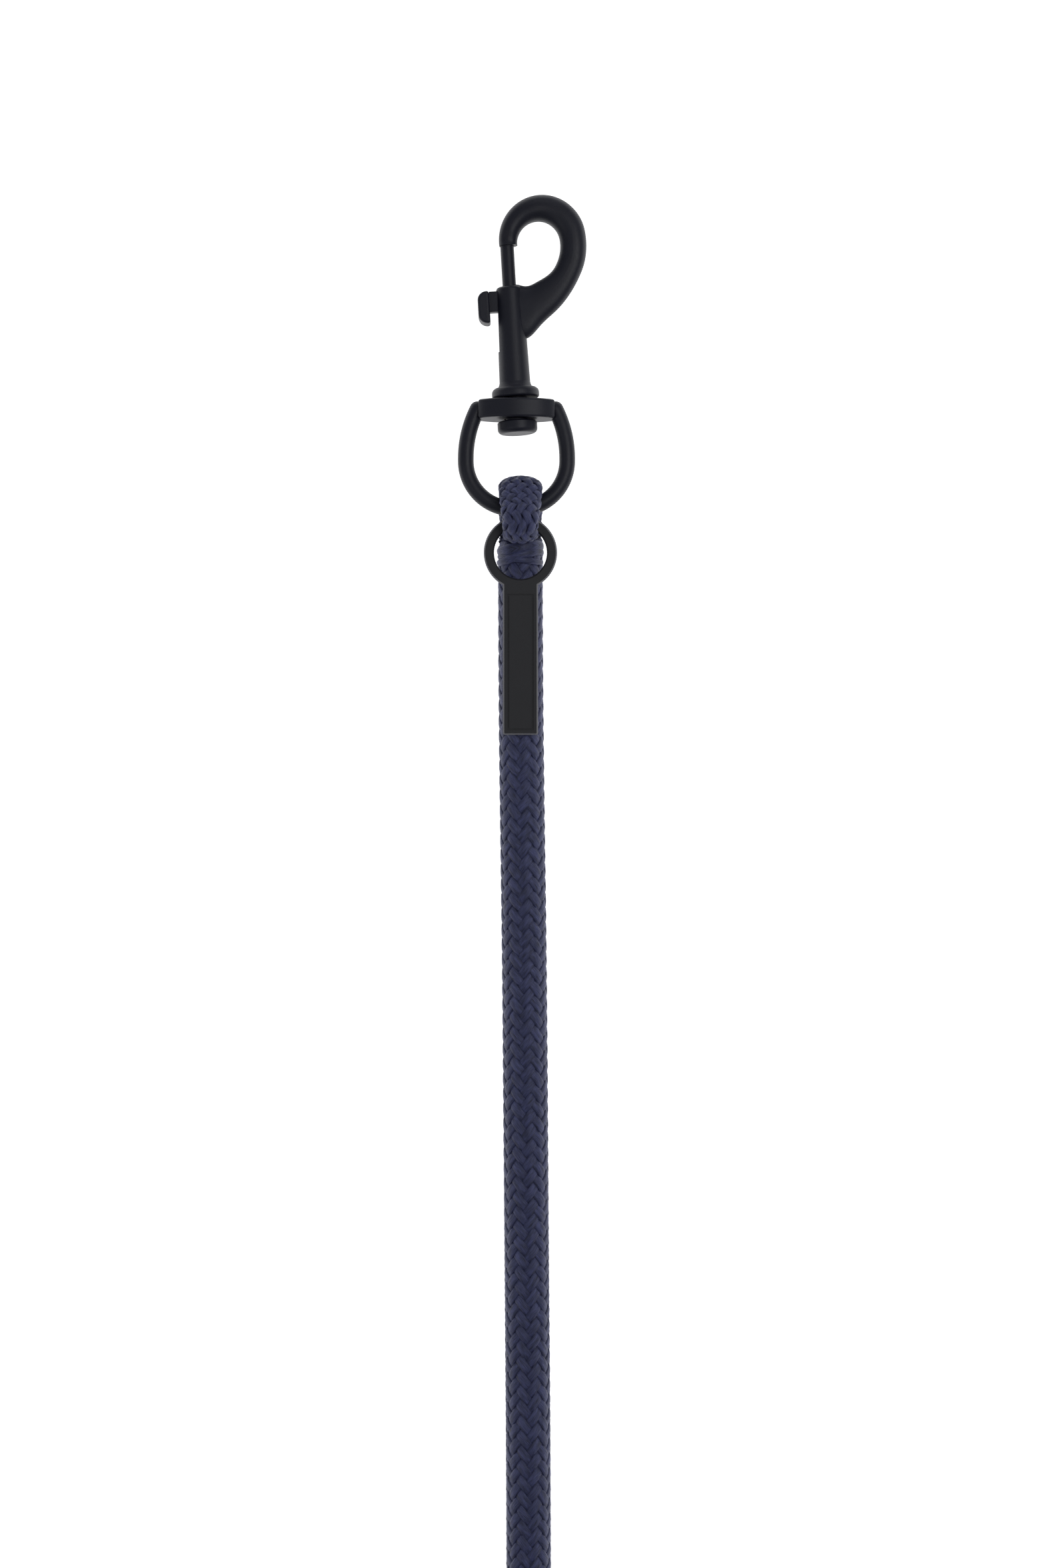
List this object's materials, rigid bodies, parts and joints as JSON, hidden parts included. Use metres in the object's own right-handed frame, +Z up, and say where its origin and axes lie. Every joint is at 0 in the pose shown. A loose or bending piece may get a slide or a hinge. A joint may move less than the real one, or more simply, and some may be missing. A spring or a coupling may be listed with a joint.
{
  "type": "lead rope with swivel bolt snap",
  "caption": "Thick round braided rope, eye-spliced to a swivel bolt snap with a sliding spring bolt, with a flat tag hanging from the spliced eye and the spare length tied in a hank.",
  "frame": {"origin": "under the middle of the snap (swivel eye, hook body, bolt, knob and rivet), on the floor that the rope and snap lie on", "axes": "+Z up from the floor, +Y from the rope towards the hook's crown, +X to the hook's open side's back"},
  "size_m": [0.1244, 0.7552, 0.0313],
  "materials": {
    "snap_coat": "matte blue-black powder coat over cast zinc",
    "spring_steel": "bright spring wire",
    "tag_rubber": "matte black, fine grain",
    "rope_yarn": "braided navy filament yarn with a soft sheen",
    "tie_band": "woven black band",
    "cap_plastic": "matte black, moulded"
  },
  "bodies": {
    "rope": {"rope_eye": "rope_yarn", "rope_lead": "rope_yarn", "rope_hank": "rope_yarn", "hank_ties": "tie_band", "end_cap": "cap_plastic"},
    "tag": {"tag": "tag_rubber"},
    "swivel_eye": {"swivel_eye": "snap_coat"},
    "snap_body": {"hook_body": "snap_coat", "swivel_rivet": "snap_coat", "bolt_spring": "spring_steel"},
    "bolt": {"bolt_rod": "snap_coat", "thumb_knob": "snap_coat"}
  },
  "joints": [
    {"name": "eye_pivot", "type": "hinge", "parent": "rope", "child": "swivel_eye", "pos_m": [-0.00195, -0.05433, 0.0118], "axis": [1, 0, 0], "range_deg": [0, 135]},
    {"name": "snap_swivel", "type": "hinge", "parent": "swivel_eye", "child": "snap_body", "pos_m": [-0.00195, -0.01941, 0.00949], "axis": [0.0576, -0.9962, 0.0658], "continuous": true},
    {"name": "bolt_slide", "type": "slide", "parent": "snap_body", "child": "bolt", "axis": [0.0576, -0.9962, 0.0658], "range_m": [0, 0.0142], "stiffness_N_per_m": 400, "springref_m": -0.012, "deforming": ["bolt_spring"]},
    {"name": "tag_swing", "type": "hinge", "parent": "rope", "child": "tag", "pos_m": [-0.00055, -0.07013, 0.01715], "axis": [0, 0, 1], "range_deg": [-90, 90]}
  ]
}
